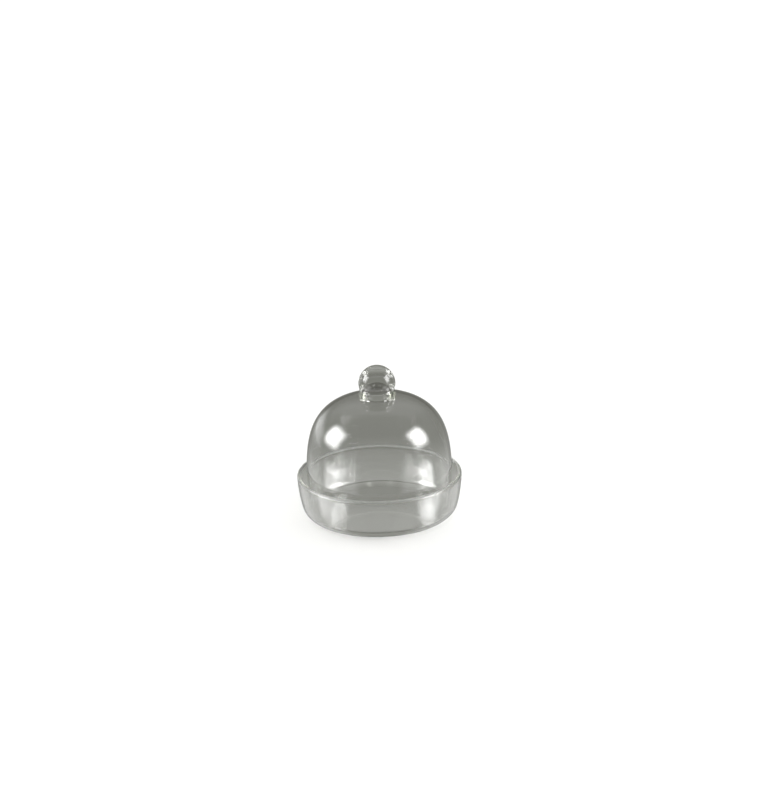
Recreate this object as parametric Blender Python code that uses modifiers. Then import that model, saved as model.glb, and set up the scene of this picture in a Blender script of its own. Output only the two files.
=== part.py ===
"""A small glass cloche: a blown bell with a ball knob, standing in a deep glass dish.

Lengths are in metres. +Z is up, every piece is turned about Z, and the dish stands on Z = 0.
"""

import math

import bpy
from mathutils import Vector

# Dish
RIM_RADIUS = 0.0600                 # axis to the outside of the rim bead
DISH_HEIGHT = 0.0316                # table to the top of the rim bead
DISH_WALL = 0.0022                  # wall and floor, blown to one thickness
RIM_SWELL = 0.0014                  # how much thicker the fire-polished rim bead is than the wall
HEEL_RADIUS = 0.0108                # outer rounding from the base up into the wall
HEEL_LEAN = math.radians(14.5)      # outward lean of the wall where it leaves the heel
RIM_LEAN = math.radians(2.0)        # outward lean of the wall where it meets the rim bead
FOOT_RING = 0.0080                  # width of the flat ring that the dish stands on
KICK_HEIGHT = 0.0008                # rise of the floor inside the foot ring
PONTIL_RADIUS = 0.0080              # polished hollow in the middle of the underside
PONTIL_DEPTH = 0.0005

# Bell
BELL_HEIGHT = 0.0860                # lowest point of the mouth to the top of the crown
BELL_WALL = 0.0022                  # at the mouth
CROWN_WALL = 0.0030                 # at the crown, where the gather stays thicker
SEAT_ANGLE = math.radians(47.0)     # where the mouth rests on the dish's heel, below the horizontal
SIDE_BULGE = math.radians(2.0)      # outward lean of the side just above the mouth
SIDE_FULLNESS = 0.60                # side handle of the outline, as a share of the bell's height
CROWN_FULLNESS = 1.06               # crown handle of the outline, as a share of the mouth's radius

# Knob
BALL_RADIUS = 0.01335
BALL_SINK = 0.0048                  # centre of the ball above the flat that joins it to the collar
COLLAR_HEIGHT = 0.0044              # crown to the flat that carries the ball
COLLAR_BULGE = 0.0008               # how far the collar's side swells out between ball and crown
NECK_RADIUS = 0.0073                # hollow that the bell's bubble leaves in crown, collar and ball
NECK_RISE = 0.0001                  # domed top of that hollow above the ball's centre
NECK_FILLET = 0.0025                # rounding from the bell's inside up into the hollow

# Play left at each joint
SEAT_GAP = 0.0003                   # mouth to the dish's heel
FUSE_GAP = 0.0003                   # collar to crown, and ball to collar

# Facets round the axis, and steps along each stretch of an outline
WIDE_FACETS = 64                    # round the dish and the bell
KNOB_FACETS = 48                    # round the collar and the ball
KICK_STEPS = 6
PONTIL_STEPS = 3
INNER_HEEL_STEPS = 7
OUTER_HEEL_STEPS = 8
WALL_STEPS = 4
RIM_STEPS = 10
BELL_STEPS = 16
MOUTH_STEPS = 6
COLLAR_STEPS = 8
CROWN_STEPS = 3
NECK_STEPS = 4
DOME_STEPS = 8
BALL_STEPS = 14
SAME_POINT = 1e-7                   # points closer than this are one

# Sizes that follow
RIM_BEAD = (DISH_WALL + RIM_SWELL) / 2
BEAD_R = RIM_RADIUS - RIM_BEAD
BEAD_Z = DISH_HEIGHT - RIM_BEAD
HEEL_TOP_Z = HEEL_RADIUS * (1 - math.sin(HEEL_LEAN))
WALL_TOP_Z = BEAD_Z - RIM_BEAD * math.sin(RIM_LEAN)
WALL_ARC = (WALL_TOP_Z - HEEL_TOP_Z) / (math.sin(HEEL_LEAN) - math.sin(RIM_LEAN))
WALL_ARC_R = BEAD_R + (RIM_BEAD - WALL_ARC) * math.cos(RIM_LEAN)
WALL_ARC_Z = WALL_TOP_Z + WALL_ARC * math.sin(RIM_LEAN)
HEEL_R = WALL_ARC_R + (WALL_ARC - HEEL_RADIUS) * math.cos(HEEL_LEAN)
INNER_HEEL = HEEL_RADIUS - DISH_WALL
KICK_RADIUS = HEEL_R - FOOT_RING
MOUTH_EDGE = BELL_WALL / 2
SEAT_REACH = INNER_HEEL - MOUTH_EDGE - SEAT_GAP
MOUTH_RADIUS = HEEL_R + SEAT_REACH * math.cos(SEAT_ANGLE) + MOUTH_EDGE
MOUTH_Z = HEEL_RADIUS - SEAT_REACH * math.sin(SEAT_ANGLE) - MOUTH_EDGE
WAIST_RADIUS = math.sqrt(BALL_RADIUS**2 - BALL_SINK**2)
BALL_LIFT = COLLAR_HEIGHT + FUSE_GAP + BALL_SINK    # crown to the ball's centre
DOME_DROP = NECK_RADIUS - NECK_RISE                 # centre of the hollow's dome below the ball's centre


def arc(centre, radius, start, end, steps):
    """Points (r, z) along a circle of the profile plane, from one angle to another."""
    points = []
    for i in range(steps + 1):
        angle = start + (end - start) * i / steps
        points.append((centre[0] + radius * math.cos(angle), centre[1] + radius * math.sin(angle)))
    return points


def joined(*runs):
    """One outline from runs of points, with the point that two runs share kept once."""
    outline = list(runs[0])
    for run in runs[1:]:
        outline += run[1:] if math.dist(outline[-1], run[0]) < SAME_POINT else run
    return outline


def kick(radius):
    """Rise of the dish's floor at this distance from the axis."""
    if radius >= KICK_RADIUS:
        return 0.0
    return KICK_HEIGHT * math.cos(math.pi / 2 * radius / KICK_RADIUS) ** 2


def dish_outline():
    """From the middle of the floor up the inside, over the rim bead, down the outside and under the base."""
    floor = []
    for i in range(KICK_STEPS + 1):
        r = KICK_RADIUS * i / KICK_STEPS
        floor.append((r, DISH_WALL + kick(r)))

    heel = (HEEL_R, HEEL_RADIUS)
    wall = (WALL_ARC_R, WALL_ARC_Z)
    inner_arc = WALL_ARC - DISH_WALL
    to_bead = WALL_ARC - RIM_BEAD
    past_bead = math.acos((to_bead**2 + inner_arc**2 - RIM_BEAD**2) / (2 * to_bead * inner_arc))
    inner_heel = arc(heel, INNER_HEEL, -math.pi / 2, -HEEL_LEAN, INNER_HEEL_STEPS)
    inner_wall = arc(wall, inner_arc, -HEEL_LEAN, -RIM_LEAN - past_bead, WALL_STEPS)
    tuck_r, tuck_z = inner_wall[-1]
    bead_start = 2 * math.pi + math.atan2(tuck_z - BEAD_Z, tuck_r - BEAD_R)
    bead = arc((BEAD_R, BEAD_Z), RIM_BEAD, bead_start, -RIM_LEAN, RIM_STEPS)
    outer_wall = arc(wall, WALL_ARC, -RIM_LEAN, -HEEL_LEAN, WALL_STEPS)
    outer_heel = arc(heel, HEEL_RADIUS, -HEEL_LEAN, -math.pi / 2, OUTER_HEEL_STEPS)

    underside = []
    for i in range(KICK_STEPS):
        r = KICK_RADIUS + (PONTIL_RADIUS - KICK_RADIUS) * i / (KICK_STEPS - 1)
        underside.append((r, kick(r)))
    for i in range(1, PONTIL_STEPS + 1):
        share = 1 - i / PONTIL_STEPS
        r = PONTIL_RADIUS * share
        underside.append((r, kick(r) + PONTIL_DEPTH * (1 - share**2)))
    return joined(floor, inner_heel, inner_wall, bead, outer_wall, outer_heel, underside)


def bell_curve(t):
    """Point (r, z) and outward normal of the bell's outer curve, from the mouth at 0 to the crown at 1."""
    side = SIDE_FULLNESS * BELL_HEIGHT
    mouth = Vector((MOUTH_RADIUS, MOUTH_EDGE))
    side_handle = mouth + side * Vector((math.sin(SIDE_BULGE), math.cos(SIDE_BULGE)))
    crown_handle = Vector((CROWN_FULLNESS * MOUTH_RADIUS, BELL_HEIGHT))
    crown = Vector((0.0, BELL_HEIGHT))
    s = 1 - t
    point = s**3 * mouth + 3 * s**2 * t * side_handle + 3 * s * t**2 * crown_handle + t**3 * crown
    tangent = s**2 * (side_handle - mouth) + 2 * s * t * (crown_handle - side_handle)
    tangent += t**2 * (crown - crown_handle)
    return point, Vector((tangent.y, -tangent.x)).normalized()


def bell_face(t, depth):
    """Point (r, z) on the bell's outer face at depth 0 and on its inner face at depth 1."""
    point, normal = bell_curve(t)
    wall = BELL_WALL + (CROWN_WALL - BELL_WALL) * t * t
    return point - depth * wall * normal


def face_share(radius, depth):
    """How far up from the mouth, as a share, a face of the bell comes in to this distance from the axis."""
    low = 0.0
    high = 1.0
    while high - low > SAME_POINT:
        middle = (low + high) / 2
        if bell_face(middle, depth).x > radius:
            low = middle
        else:
            high = middle
    return high


def bell_outline():
    """From the hollow of the neck down the outside, round the fire-polished mouth and up the inside."""
    outer_top = face_share(NECK_RADIUS, 0.0)
    inner_top = face_share(NECK_RADIUS + NECK_FILLET, 1.0)
    outer = []
    inner = []
    for i in range(BELL_STEPS + 1):
        share = 1 - i / BELL_STEPS
        outer.append(tuple(bell_face(outer_top * share, 0.0)))
        inner.append(tuple(bell_face(inner_top * share, 1.0)))
    point, normal = bell_curve(0.0)
    tilt = math.atan2(normal.y, normal.x)
    mouth = arc(point - MOUTH_EDGE * normal, MOUTH_EDGE, tilt, tilt - math.pi, MOUTH_STEPS)
    turn = (NECK_RADIUS + NECK_FILLET, inner[0][1] + NECK_FILLET)
    fillet = arc(turn, NECK_FILLET, -math.pi / 2, -math.pi, NECK_STEPS)
    return joined(outer, mouth, inner[::-1], fillet)


def crown_drop(radius):
    """How far the bell's outer face lies below its crown at this distance from the axis."""
    return BELL_HEIGHT - bell_face(face_share(radius, 0.0), 0.0).y


def neck_radius(height):
    """Radius of the hollow at this height from the ball's centre: straight, then a dome."""
    above = max(height + DOME_DROP, 0.0)
    return math.sqrt(NECK_RADIUS**2 - above**2)


def collar_outline():
    """From the flat that carries the ball down the rounded side, back along the crown and up the hollow.

    Z = 0 is the crown.
    """
    foot_z = FUSE_GAP - crown_drop(WAIST_RADIUS)
    middle = (COLLAR_HEIGHT + foot_z) / 2
    reach = (COLLAR_HEIGHT - foot_z) / 2
    side = [(WAIST_RADIUS + COLLAR_BULGE * r, middle + reach * z)
            for r, z in arc((0.0, 0.0), 1.0, math.pi / 2, -math.pi / 2, COLLAR_STEPS)]
    under = []
    for i in range(CROWN_STEPS + 1):
        r = WAIST_RADIUS + (NECK_RADIUS - WAIST_RADIUS) * i / CROWN_STEPS
        under.append((r, FUSE_GAP - crown_drop(r)))
    low = under[-1][1]
    hollow = []
    for i in range(NECK_STEPS + 1):
        z = low + (COLLAR_HEIGHT - low) * i / NECK_STEPS
        hollow.append((neck_radius(z - BALL_LIFT), z))
    return joined(side, under, hollow)


def ball_outline():
    """From the top of the ball down to the flat that joins it to the collar, and up the hollow's dome.

    Z = 0 is the ball's centre.
    """
    flat_edge = -math.asin(BALL_SINK / BALL_RADIUS)
    sphere = arc((0.0, 0.0), BALL_RADIUS, math.pi / 2, flat_edge, BALL_STEPS)
    flat = (neck_radius(-BALL_SINK), -BALL_SINK)
    dome_start = math.asin(max(DOME_DROP - BALL_SINK, 0.0) / NECK_RADIUS)
    dome = arc((0.0, -DOME_DROP), NECK_RADIUS, dome_start, math.pi / 2, DOME_STEPS)
    return joined(sphere, [flat], dome)


def clear_glass(name, colour):
    material = bpy.data.materials.new(name)
    material.use_nodes = True
    shader = material.node_tree.nodes["Principled BSDF"]
    shader.inputs["Base Color"].default_value = (*colour, 1.0)
    shader.inputs["Roughness"].default_value = 0.02
    shader.inputs["Metallic"].default_value = 0.0
    shader.inputs["IOR"].default_value = 1.52
    shader.inputs["Transmission Weight"].default_value = 1.0
    return material


def turned(name, outline, facets, colour, collection, parent=None, height=0.0):
    """An object turned about Z from a profile that starts and ends on the axis, or closes round a hollow."""
    mesh = bpy.data.meshes.new(name)
    points = [(r if r > SAME_POINT else 0.0, 0.0, z) for r, z in outline]
    edges = [(i, i + 1) for i in range(len(points) - 1)]
    if points[0][0] > 0:
        edges.append((len(points) - 1, 0))
    mesh.from_pydata(points, edges, [])
    mesh.materials.append(clear_glass(name + "_glass", colour))
    piece = bpy.data.objects.new(name, mesh)
    piece.parent = parent
    piece.location.z = height
    screw = piece.modifiers.new("turn", "SCREW")
    screw.axis = "Z"
    screw.angle = 2 * math.pi
    screw.steps = facets
    screw.render_steps = facets
    screw.use_merge_vertices = True
    screw.merge_threshold = 0.00001
    screw.use_smooth_shade = True
    collection.objects.link(piece)
    return piece


def build():
    for old in list(bpy.data.objects):
        bpy.data.objects.remove(old, do_unlink=True)
    cloche = bpy.data.collections.new("bell_jar_dome")
    bpy.context.scene.collection.children.link(cloche)

    turned("dish", dish_outline(), WIDE_FACETS, (0.80, 0.82, 0.79), cloche)

    bell_lift = bpy.data.objects.new("bell_lift", None)
    bell_lift.empty_display_size = MOUTH_RADIUS
    bell_lift.location.z = MOUTH_Z
    cloche.objects.link(bell_lift)

    ball_z = BELL_HEIGHT + BALL_LIFT
    turned("bell", bell_outline(), WIDE_FACETS, (0.78, 0.80, 0.77), cloche, bell_lift)
    turned("knob_collar", collar_outline(), KNOB_FACETS, (0.80, 0.82, 0.79), cloche, bell_lift, BELL_HEIGHT)
    turned("ball_knob", ball_outline(), KNOB_FACETS, (0.80, 0.82, 0.79), cloche, bell_lift, ball_z)


build()
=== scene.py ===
import math

import bmesh
import bpy
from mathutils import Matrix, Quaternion, Vector, noise
from mathutils.geometry import interpolate_bezier


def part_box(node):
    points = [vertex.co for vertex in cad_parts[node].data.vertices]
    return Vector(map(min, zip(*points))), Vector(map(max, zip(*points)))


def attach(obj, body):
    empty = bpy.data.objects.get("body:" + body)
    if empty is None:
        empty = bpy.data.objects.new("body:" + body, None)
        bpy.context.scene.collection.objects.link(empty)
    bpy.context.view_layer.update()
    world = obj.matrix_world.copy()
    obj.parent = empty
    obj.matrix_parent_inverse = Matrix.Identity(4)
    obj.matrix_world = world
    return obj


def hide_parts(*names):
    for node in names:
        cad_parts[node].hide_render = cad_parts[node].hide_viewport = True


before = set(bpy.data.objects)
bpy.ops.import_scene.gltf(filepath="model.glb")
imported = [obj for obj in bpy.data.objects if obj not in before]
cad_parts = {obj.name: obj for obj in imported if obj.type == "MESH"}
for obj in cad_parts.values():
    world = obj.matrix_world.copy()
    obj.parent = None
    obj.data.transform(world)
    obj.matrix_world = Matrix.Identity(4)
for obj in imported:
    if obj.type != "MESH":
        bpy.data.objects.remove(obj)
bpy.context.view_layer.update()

# Lengths are in metres, and every piece is turned about Z. The frame gives where each piece starts and ends.
dish_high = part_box("dish")[1]
bell_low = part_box("bell")[0]
ball_low, ball_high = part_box("ball_knob")

# Slow ripples that the blowing leaves in a wall, and the fine bands that the turning leaves on its face
RIPPLE_LENGTH = 0.022
RIPPLE_DEPTH = 0.00004
RIPPLE_FADE = 0.010                  # ripples die out over this height above the table and the mouth
BAND_LENGTH = 0.030                  # along the turn
BAND_SPACING = 0.0045                # up the wall
BAND_DEPTH = 0.000005

# Glass
GLASS_IOR = 1.52                     # usual for soda-lime glass
GLASS_TINT = "#e4e6de"
TINT_DEPTH = 0.080                   # light that crosses this much glass takes on about the tint

# Dish
RIM_RADIUS = dish_high.x - RIPPLE_DEPTH
DISH_HEIGHT = dish_high.z
DISH_WALL = 0.0022
RIM_BEAD = 0.0014                    # radius of the rounded rim
BEAD_RUN = 0.0012                    # height over which the wall swells into the rim
HEEL_RADIUS = 0.0108
HEEL_LEAN = math.radians(14.5)       # outward lean of the wall above the heel
RIM_LEAN = math.radians(2.0)         # outward lean of the wall at the rim
FOOT_RING = 0.0080
KICK_HEIGHT = 0.0008                 # rise of the floor inside the foot ring
PONTIL_RADIUS = 0.0100
PONTIL_DEPTH = 0.0001
SATIN_HEIGHT = 0.0020                # the rim is ground level and only lightly polished down to here
SATIN_ROUGHNESS = 0.40
WEAR_HEIGHT = 0.0005                 # the foot ring is rubbed dull up to here
WEAR_GRAIN = 0.0012                  # length of the rubbed patches
WEAR_ROUGHNESS = 0.14

# Bell and knob
COLLAR_HEIGHT = 0.0047               # from the crown of the bell to the ball
MOUTH_Z = bell_low.z
CROWN_Z = ball_low.z - COLLAR_HEIGHT
MOUTH_RADIUS = 0.0524
BELL_WALL = 0.0022
CROWN_WALL = 0.0030
SIDE_BULGE = math.radians(2.0)
SIDE_FULLNESS = 0.60
CROWN_FULLNESS = 1.06
BALL_RADIUS = 0.01335
BALL_Z = ball_high.z - BALL_RADIUS
BALL_SINK = BALL_Z - ball_low.z      # centre of the ball above its joint with the collar
COLLAR_BULGE = 0.0008                # how far the collar's side swells out between ball and crown
COLLAR_DIP = 0.0002                  # how far the collar's foot sinks into the crown
NECK_RADIUS = 0.0073                 # hollow that the bell's bubble leaves in crown, collar and ball
NECK_RISE = 0.0001                   # domed top of that hollow above the ball's centre
NECK_FILLET = 0.0030

# Facets
TURN_STEPS = 192
BELL_STEPS = 80
FINE_STEPS = 16
AXIS = 1e-7                          # points nearer than this to the axis or to each other are one

# Camera, from the photograph's frame
IMAGE_WIDTH = 759
IMAGE_HEIGHT = 800
VIEW_ELEVATION = math.radians(20.6)
VIEW_DISTANCE = 2.0
VIEW_POINT = Vector((0.0, 0.0, 0.050))
VIEW_PIXEL = (378.7, 448.0)          # where the view point lies in the image
VIEW_ROLL = math.radians(1.6)        # the camera was held a little crooked
PIXELS_PER_METRE = 1375.0            # at the view point
SENSOR = 36.0

# Floor, grey table, light cards and room
STAGE_RADIUS = 20.0
STAGE_SIDES = 64
FLOOR_Z = -0.0001
FLOOR_TONE = "#f4f4f2"
TABLE_Z = -0.0002
TABLE_TONE = "#a8a9a4"
PAINTED_SHADOW_TONE = "#94958f"               # painted shadow under the dish on the glowing table
PAINTED_SHADOW_START, PAINTED_SHADOW_END = 0.052, 0.066
PAINTED_FALLOFF_TONE = "#84857f"                 # painted falloff of light away from the dish
PAINTED_FALLOFF_START, PAINTED_FALLOFF_END = 0.065, 0.17
CARD_CORE = 0.2                      # share of a light card, from its middle, that is evenly bright
SOFTBOX_CORE = 0.3
ROOM_FRONT_TONE = "#454543"
ROOM_BACK_TONE = "#60605b"
ROOM_FRONT, ROOM_BACK = -0.3, 0.7    # the room's tone changes between these, on a scale from front, -1, to back, 1
ROOM_STRENGTH = 1.2
LIGHT_BOUNCES = 32                   # enough to pass through every wall and along the rim


# Helpers

def linear(hex_colour):
    """An sRGB hex colour as linear RGBA."""
    channels = [int(hex_colour[i:i + 2], 16) / 255 for i in (1, 3, 5)]
    return [c / 12.92 if c <= 0.04045 else ((c + 0.055) / 1.055) ** 2.4 for c in channels] + [1.0]


def add(tree, kind, inputs=None, **settings):
    """Adds a node with its settings. An input is given a value, or linked to a socket."""
    made = tree.nodes.new(kind)
    for name, value in settings.items():
        setattr(made, name, value)
    for name, value in (inputs or {}).items():
        if isinstance(value, bpy.types.NodeSocket):
            tree.links.new(value, made.inputs[name])
        else:
            made.inputs[name].default_value = value
    return made


def placed(name, bm, material):
    """The bmesh as an object of the scene."""
    mesh = bpy.data.meshes.new(name)
    bm.to_mesh(mesh)
    bm.free()
    mesh.materials.append(material)
    made = bpy.data.objects.new(name, mesh)
    bpy.context.scene.collection.objects.link(made)
    return made


def arc(centre, radius, start, end, steps):
    """Points (r, z) on a circle of the profile plane, from one angle to another."""
    points = []
    for i in range(steps + 1):
        angle = start + (end - start) * i / steps
        points.append(Vector((centre[0] + radius * math.cos(angle), centre[1] + radius * math.sin(angle))))
    return points


def bezier(start, start_handle, end_handle, end, steps):
    """Points (r, z) on a curve between two points."""
    flat = [Vector((p[0], p[1], 0.0)) for p in (start, start_handle, end_handle, end)]
    return [p.to_2d() for p in interpolate_bezier(*flat, steps + 1)]


def inset(points, walls):
    """The points moved to their right by the wall at each, which gives a shell's other face."""
    moved = []
    for i, point in enumerate(points):
        along = (points[min(i + 1, len(points) - 1)] - points[max(i - 1, 0)]).normalized()
        moved.append(point + walls[i] * Vector((along.y, -along.x)))
    return moved


def smooth(share):
    """Eases from 0 to 1."""
    share = min(max(share, 0.0), 1.0)
    return share * share * (3 - 2 * share)


def turned(name, outline, still_z, body, nodes, material):
    """A closed piece of glass turned from an outline that starts and ends on the axis."""
    bm = bmesh.new()
    ends = [bm.verts.new((p[0] if p[0] > AXIS else 0.0, 0.0, p[1])) for p in outline]
    edges = [bm.edges.new(pair) for pair in zip(ends, ends[1:])]
    bmesh.ops.spin(bm, geom=ends + edges, axis=(0, 0, 1), angle=2 * math.pi, steps=TURN_STEPS, use_merge=True)
    bmesh.ops.remove_doubles(bm, verts=bm.verts, dist=AXIS)
    bmesh.ops.recalc_face_normals(bm, faces=bm.faces)
    bm.normal_update()
    shifts = []
    for vert in bm.verts:
        calm = smooth((vert.co.z - still_z) / RIPPLE_FADE)
        shifts.append(vert.normal * (RIPPLE_DEPTH * calm * noise.noise(vert.co / RIPPLE_LENGTH)))
    for vert, shift in zip(bm.verts, shifts):
        vert.co += shift
    for face in bm.faces:
        face.smooth = True
    piece = placed(name, bm, material)
    piece.visible_shadow = False         # clear glass lets the light through to the floor
    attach(piece, body)
    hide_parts(*nodes)


# Glass

def clear_glass(name):
    """Soda-lime glass, blown and fire-polished.

    It is clear and sharp in its reflections, with a grey-green cast where the eye looks through much of it. Faint
    bands from the turning make the edges of a reflected light waver.
    """
    material = bpy.data.materials.new(name)
    material.use_nodes = True
    tree = material.node_tree
    shader = tree.nodes["Principled BSDF"]
    shader.inputs["Base Color"].default_value = linear("#ffffff")
    shader.inputs["Roughness"].default_value = 0.0
    shader.inputs["IOR"].default_value = GLASS_IOR
    shader.inputs["Transmission Weight"].default_value = 1.0
    cast = add(tree, "ShaderNodeVolumeAbsorption", {"Color": linear(GLASS_TINT), "Density": 1 / TINT_DEPTH})
    tree.links.new(cast.outputs["Volume"], tree.nodes["Material Output"].inputs["Volume"])
    place = add(tree, "ShaderNodeTexCoord")
    spread = add(tree, "ShaderNodeMapping", {"Vector": place.outputs["Object"],
                                             "Scale": (1 / BAND_LENGTH, 1 / BAND_LENGTH, 1 / BAND_SPACING)})
    bands = add(tree, "ShaderNodeTexNoise", {"Vector": spread.outputs["Vector"], "Scale": 1.0, "Detail": 1.0})
    waver = add(tree, "ShaderNodeBump", {"Height": bands.outputs["Fac"], "Strength": 1.0, "Distance": BAND_DEPTH})
    tree.links.new(waver.outputs["Normal"], shader.inputs["Normal"])
    return material


def satin_edges(material):
    """The dish's glass is satin at its ground rim, which glows where a light falls on it, and rubbed at its foot."""
    tree = material.node_tree
    place = add(tree, "ShaderNodeTexCoord")
    height = add(tree, "ShaderNodeSeparateXYZ", {"Vector": place.outputs["Object"]})
    foot = add(tree, "ShaderNodeMapRange", {"Value": height.outputs["Z"], "From Min": WEAR_HEIGHT, "From Max": 0.0})
    patches = add(tree, "ShaderNodeTexNoise", {"Vector": place.outputs["Object"], "Scale": 1 / WEAR_GRAIN})
    rubbed = add(tree, "ShaderNodeMath", {0: foot.outputs["Result"], 1: patches.outputs["Fac"]},
                 operation="MULTIPLY")
    rim = add(tree, "ShaderNodeMapRange", {"Value": height.outputs["Z"],
                                           "From Min": DISH_HEIGHT - SATIN_HEIGHT,
                                           "From Max": DISH_HEIGHT - SATIN_HEIGHT / 2,
                                           "To Max": SATIN_ROUGHNESS})
    satin = add(tree, "ShaderNodeMath", {0: rubbed.outputs["Value"], 1: WEAR_ROUGHNESS, 2: rim.outputs["Result"]},
                operation="MULTIPLY_ADD")
    tree.links.new(satin.outputs["Value"], tree.nodes["Principled BSDF"].inputs["Roughness"])


# Dish

def dish_outline():
    """From the middle of the floor up the inside, over the rim, down the outside and under the base."""
    bead = Vector((RIM_RADIUS - RIM_BEAD, DISH_HEIGHT - RIM_BEAD))
    heel_top = HEEL_RADIUS * (1 - math.sin(HEEL_LEAN))
    wall_top = bead.y - RIM_BEAD * math.sin(RIM_LEAN)
    radius = (wall_top - heel_top) / (math.sin(HEEL_LEAN) - math.sin(RIM_LEAN))
    wall = Vector((bead.x + (RIM_BEAD - radius) * math.cos(RIM_LEAN), wall_top + radius * math.sin(RIM_LEAN)))
    heel = Vector((wall.x + (radius - HEEL_RADIUS) * math.cos(HEEL_LEAN), HEEL_RADIUS))

    outside = arc(wall, radius, -RIM_LEAN, -HEEL_LEAN, 2 * FINE_STEPS)
    outside += arc(heel, HEEL_RADIUS, -HEEL_LEAN, -math.pi / 2, FINE_STEPS)[1:]
    walls = []
    for point in outside:
        swell = smooth(1 - (bead.y - point.y) / BEAD_RUN)
        walls.append(DISH_WALL + (2 * RIM_BEAD - DISH_WALL) * swell)
    inside = inset(outside, walls)[::-1]
    rim = arc(bead, RIM_BEAD, math.pi - RIM_LEAN, -RIM_LEAN, FINE_STEPS)

    kick_radius = heel.x - FOOT_RING
    underside = []
    floor = []
    for i in range(2 * FINE_STEPS + 1):
        r = kick_radius * (1 - i / (2 * FINE_STEPS))
        rise = KICK_HEIGHT * math.cos(math.pi / 2 * r / kick_radius) ** 2
        floor.append(Vector((r, DISH_WALL + rise)))
        hollow = PONTIL_DEPTH * smooth((PONTIL_RADIUS - r) / PONTIL_RADIUS * 2)
        underside.append(Vector((r, rise + hollow)))
    return floor[::-1] + inside + rim[1:-1] + outside + underside


# Bell, collar and ball

def bell_faces():
    """The bell's outer face from the crown down to the mouth, and its inner face beside it."""
    mouth = Vector((MOUTH_RADIUS, MOUTH_Z + BELL_WALL / 2))
    height = CROWN_Z - MOUTH_Z
    side_handle = mouth + SIDE_FULLNESS * height * Vector((math.sin(SIDE_BULGE), math.cos(SIDE_BULGE)))
    crown_handle = Vector((CROWN_FULLNESS * MOUTH_RADIUS, CROWN_Z))
    outside = bezier(Vector((0.0, CROWN_Z)), crown_handle, side_handle, mouth, BELL_STEPS)
    walls = []
    for i in range(len(outside)):
        share = 1 - i / BELL_STEPS
        walls.append(BELL_WALL + (CROWN_WALL - BELL_WALL) * share * share)
    return outside, inset(outside, walls)


def cover_outline():
    """From the top of the ball down over collar and crown to the mouth, and up the inside into the hollow neck."""
    outside, inside = bell_faces()
    ball = arc((0.0, BALL_Z), BALL_RADIUS, math.pi / 2, -math.asin(BALL_SINK / BALL_RADIUS), 3 * FINE_STEPS)
    waist = ball[-1]
    crown = [p for p in outside if p.x > waist.x]
    half = Vector((COLLAR_BULGE, (waist.y - crown[0].y + COLLAR_DIP) / 2))
    middle = waist - Vector((0.0, half.y))
    collar = [middle + half * p for p in arc((0.0, 0.0), 1.0, math.pi / 2, -math.pi / 2, 2 * FINE_STEPS)]
    collar = [p for p in collar[1:] if p.y > crown[0].y]

    lip_middle = (outside[-1] + inside[-1]) / 2
    lean = math.atan2(outside[-1].y - lip_middle.y, outside[-1].x - lip_middle.x)
    lip = arc(lip_middle, BELL_WALL / 2, lean, lean - math.pi, FINE_STEPS)

    inner = [p for p in inside[::-1] if p.x > NECK_RADIUS + NECK_FILLET]
    turn = (NECK_RADIUS + NECK_FILLET, inner[-1].y + NECK_FILLET)
    fillet = arc(turn, NECK_FILLET, -math.pi / 2, -math.pi, FINE_STEPS)
    dome = arc((0.0, BALL_Z + NECK_RISE - NECK_RADIUS), NECK_RADIUS, 0.0, math.pi / 2, 2 * FINE_STEPS)
    return ball + collar + crown + lip[1:-1] + inner + fillet[1:] + dome


# Stage

def stage_disc(name, z, material):
    """A wide level disc to stand on."""
    bm = bmesh.new()
    bmesh.ops.create_circle(bm, cap_ends=True, segments=STAGE_SIDES, radius=STAGE_RADIUS)
    bmesh.ops.translate(bm, verts=bm.verts, vec=(0, 0, z))
    disc = placed(name, bm, material)
    return disc


def grey_sweep():
    """The grey table that only the glass sees, so that clear glass stands grey on a pale floor. Its glowing tone
    holds a painted shadow under the dish and a painted falloff of light away from it.
    """
    material = bpy.data.materials.new("grey_card")
    material.use_nodes = True
    tree = material.node_tree
    tree.nodes.clear()
    place = add(tree, "ShaderNodeTexCoord")
    reach = add(tree, "ShaderNodeVectorMath", {0: place.outputs["Object"]}, operation="LENGTH")
    # Painted light: the table glows darker away from the dish, a painted falloff of light around it
    painted_falloff = add(tree, "ShaderNodeMapRange", {"Value": reach.outputs["Value"],
                                           "From Min": PAINTED_FALLOFF_START, "From Max": PAINTED_FALLOFF_END})
    # Painted shadow: the table glows darker under the dish, where the dish would shade it
    out_of_painted_shadow = add(tree, "ShaderNodeMapRange", {"Value": reach.outputs["Value"],
                                                     "From Min": PAINTED_SHADOW_START, "From Max": PAINTED_SHADOW_END})
    near = add(tree, "ShaderNodeMix", {"Factor": out_of_painted_shadow.outputs["Result"], "A": linear(PAINTED_SHADOW_TONE),
                                       "B": linear(TABLE_TONE)}, data_type="RGBA")
    tone = add(tree, "ShaderNodeMix", {"Factor": painted_falloff.outputs["Result"], "A": near.outputs["Result"],
                                       "B": linear(PAINTED_FALLOFF_TONE)}, data_type="RGBA")
    light = add(tree, "ShaderNodeEmission", {"Color": tone.outputs["Result"]})
    add(tree, "ShaderNodeOutputMaterial", {"Surface": light.outputs["Emission"]})
    sweep = stage_disc("grey_sweep", TABLE_Z, material)
    sweep.visible_camera = False
    sweep.visible_diffuse = False
    sweep.visible_shadow = False
    sweep.visible_glossy = False


def pale_floor():
    """White paper, matt, so that it shows only the soft shade under the dish. The glass doesn't see it."""
    material = bpy.data.materials.new("white_paper")
    material.use_nodes = True
    shader = material.node_tree.nodes["Principled BSDF"]
    shader.inputs["Base Color"].default_value = linear(FLOOR_TONE)
    shader.inputs["Roughness"].default_value = 1.0
    shader.inputs["Specular IOR Level"].default_value = 0.0
    floor = stage_disc("floor", FLOOR_Z, material)
    floor.visible_glossy = False
    floor.visible_transmission = False


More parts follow.
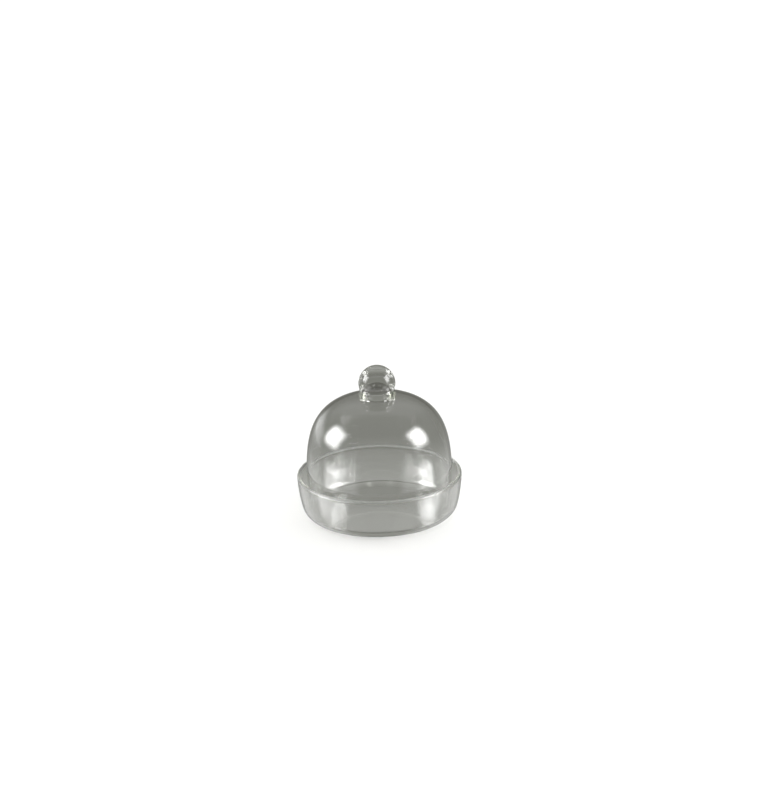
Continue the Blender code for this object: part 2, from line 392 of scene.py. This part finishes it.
def card(name, azimuth, elevation, width, height, strength, distance=1.0, refracted=True, core=CARD_CORE):
    """A card of light that fades towards its edges, and that only the glass sees.

    Its place and size are in degrees as seen from the view point. Azimuth 0 is behind the object and 90 to its right.
    """
    azimuth, elevation = math.radians(azimuth), math.radians(elevation)
    level = math.cos(elevation)
    way = Vector((math.sin(azimuth) * level, math.cos(azimuth) * level, math.sin(elevation)))
    width = 2 * distance * math.tan(math.radians(width / 2))
    height = 2 * distance * math.tan(math.radians(height / 2))
    bm = bmesh.new()
    bmesh.ops.create_grid(bm, x_segments=1, y_segments=1, size=0.5)
    bmesh.ops.scale(bm, verts=bm.verts, vec=(width, height, 1.0))

    material = bpy.data.materials.new(name)
    material.use_nodes = True
    tree = material.node_tree
    tree.nodes.clear()
    spot = add(tree, "ShaderNodeTexCoord")
    share = add(tree, "ShaderNodeVectorMath", {0: spot.outputs["Object"], 1: (2 / width, 2 / height, 0.0)},
                operation="MULTIPLY")
    size = add(tree, "ShaderNodeVectorMath", {0: share.outputs["Vector"]}, operation="ABSOLUTE")
    sides = add(tree, "ShaderNodeSeparateXYZ", {"Vector": size.outputs["Vector"]})
    across = add(tree, "ShaderNodeMapRange", {"Value": sides.outputs["X"], "From Min": 1.0, "From Max": core},
                 interpolation_type="SMOOTHSTEP")
    along = add(tree, "ShaderNodeMapRange", {"Value": sides.outputs["Y"], "From Min": 1.0, "From Max": core},
                interpolation_type="SMOOTHSTEP")
    fade = add(tree, "ShaderNodeMath", {0: across.outputs["Result"], 1: along.outputs["Result"]},
               operation="MULTIPLY")
    clear = add(tree, "ShaderNodeBsdfTransparent")
    light = add(tree, "ShaderNodeEmission", {"Strength": strength})
    soft = add(tree, "ShaderNodeMixShader", {0: fade.outputs["Value"], 1: clear.outputs["BSDF"],
                                             2: light.outputs["Emission"]})
    add(tree, "ShaderNodeOutputMaterial", {"Surface": soft.outputs["Shader"]})

    lamp = placed(name, bm, material)
    lamp.location = VIEW_POINT + distance * way
    lamp.rotation_euler = way.to_track_quat("Z", "Y").to_euler()
    lamp.visible_camera = False
    lamp.visible_diffuse = False
    lamp.visible_shadow = False
    lamp.visible_transmission = refracted


def studio():
    """White light on the floor, and a dark room for the glass to show."""
    world = bpy.data.worlds.new("studio")
    bpy.context.scene.world = world
    world.use_nodes = True
    tree = world.node_tree
    tree.nodes.clear()
    way = add(tree, "ShaderNodeTexCoord")
    parts = add(tree, "ShaderNodeSeparateXYZ", {"Vector": way.outputs["Generated"]})
    back = add(tree, "ShaderNodeMapRange", {"Value": parts.outputs["Y"],
                                            "From Min": ROOM_FRONT, "From Max": ROOM_BACK})
    room = add(tree, "ShaderNodeMix", {"Factor": back.outputs["Result"], "A": linear(ROOM_FRONT_TONE),
                                       "B": linear(ROOM_BACK_TONE)}, data_type="RGBA")
    path = add(tree, "ShaderNodeLightPath")
    either = add(tree, "ShaderNodeMath", {0: path.outputs["Is Glossy Ray"], 1: path.outputs["Is Transmission Ray"]},
                 operation="MAXIMUM")
    seen = add(tree, "ShaderNodeMix", {"Factor": either.outputs["Value"], "A": linear("#ffffff"),
                                       "B": room.outputs["Result"]}, data_type="RGBA")
    sky = add(tree, "ShaderNodeBackground", {"Color": seen.outputs["Result"], "Strength": ROOM_STRENGTH})
    add(tree, "ShaderNodeOutputWorld", {"Surface": sky.outputs["Background"]})


def camera():
    """Looks from the photograph's angle, and puts the view point at its place in the photograph."""
    data = bpy.data.cameras.new("camera")
    data.sensor_width = SENSOR
    data.lens = SENSOR * PIXELS_PER_METRE * VIEW_DISTANCE / max(IMAGE_WIDTH, IMAGE_HEIGHT)
    eye = bpy.data.objects.new("camera", data)
    toward = Vector((0.0, math.cos(VIEW_ELEVATION), -math.sin(VIEW_ELEVATION)))
    level = Vector((1.0, 0.0, 0.0))
    upright = level.cross(toward)
    up = math.cos(VIEW_ROLL) * upright + math.sin(VIEW_ROLL) * level
    right = math.cos(VIEW_ROLL) * level - math.sin(VIEW_ROLL) * upright
    eye.location = VIEW_POINT - VIEW_DISTANCE * toward
    aim = VIEW_POINT + up * (VIEW_PIXEL[1] - IMAGE_HEIGHT / 2) / PIXELS_PER_METRE
    aim += right * (IMAGE_WIDTH / 2 - VIEW_PIXEL[0]) / PIXELS_PER_METRE
    turn = (aim - eye.location).to_track_quat("-Z", "Y") @ Quaternion((0.0, 0.0, 1.0), -VIEW_ROLL)
    eye.rotation_euler = turn.to_euler()
    bpy.context.scene.collection.objects.link(eye)
    bpy.context.scene.camera = eye


glass = clear_glass("blown_soda_lime_glass")
rimmed_glass = clear_glass("soda_lime_glass_with_ground_rim")
satin_edges(rimmed_glass)
turned("glass_dish", dish_outline(), 0.0, "base", ["dish"], rimmed_glass)
turned("glass_bell", cover_outline(), MOUTH_Z, "cover", ["bell", "knob_collar", "ball_knob"], glass)
grey_sweep()
pale_floor()

# Light cards: azimuth, elevation, width and height in degrees, strength, and distance in metres
card("left_softbox", -90, 26.5, 45, 45, 12.0, core=SOFTBOX_CORE)
card("right_softbox", 101, 28, 41, 45, 12.0, core=SOFTBOX_CORE)
card("left_low_card", -107, -24, 36, 46, 6.2, 0.235, core=SOFTBOX_CORE)
card("right_low_card", 110, -24, 36, 46, 6.6, 0.235, core=SOFTBOX_CORE)
card("left_wing", -60, -40, 80, 76, 1.5, 1.4)
card("right_wing", 60, -40, 80, 76, 1.3, 1.4)
card("left_front_card", -142, -42, 60, 50, 2.0, 1.4)
card("right_front_card", 142, -42, 60, 50, 2.2, 1.4)
card("front_low_card", 180, -40, 60, 50, 2.0, 1.4)
card("left_soft_card", -130, -14, 44, 40, 2.2, 1.8)
card("right_soft_card", 130, -14, 44, 40, 2.0, 1.8)
card("left_back_card", -48, 5, 60, 36, 1.25, 1.6)
card("back_low_card", 0, -30, 70, 60, 0.35, 2.0)
card("back_wall", 0, 48, 90, 60, 0.65, 2.0, refracted=False)
studio()
camera()

scene = bpy.context.scene
scene.view_settings.view_transform = "Standard"
scene.cycles.max_bounces = LIGHT_BOUNCES
scene.cycles.transmission_bounces = LIGHT_BOUNCES
scene.cycles.glossy_bounces = LIGHT_BOUNCES
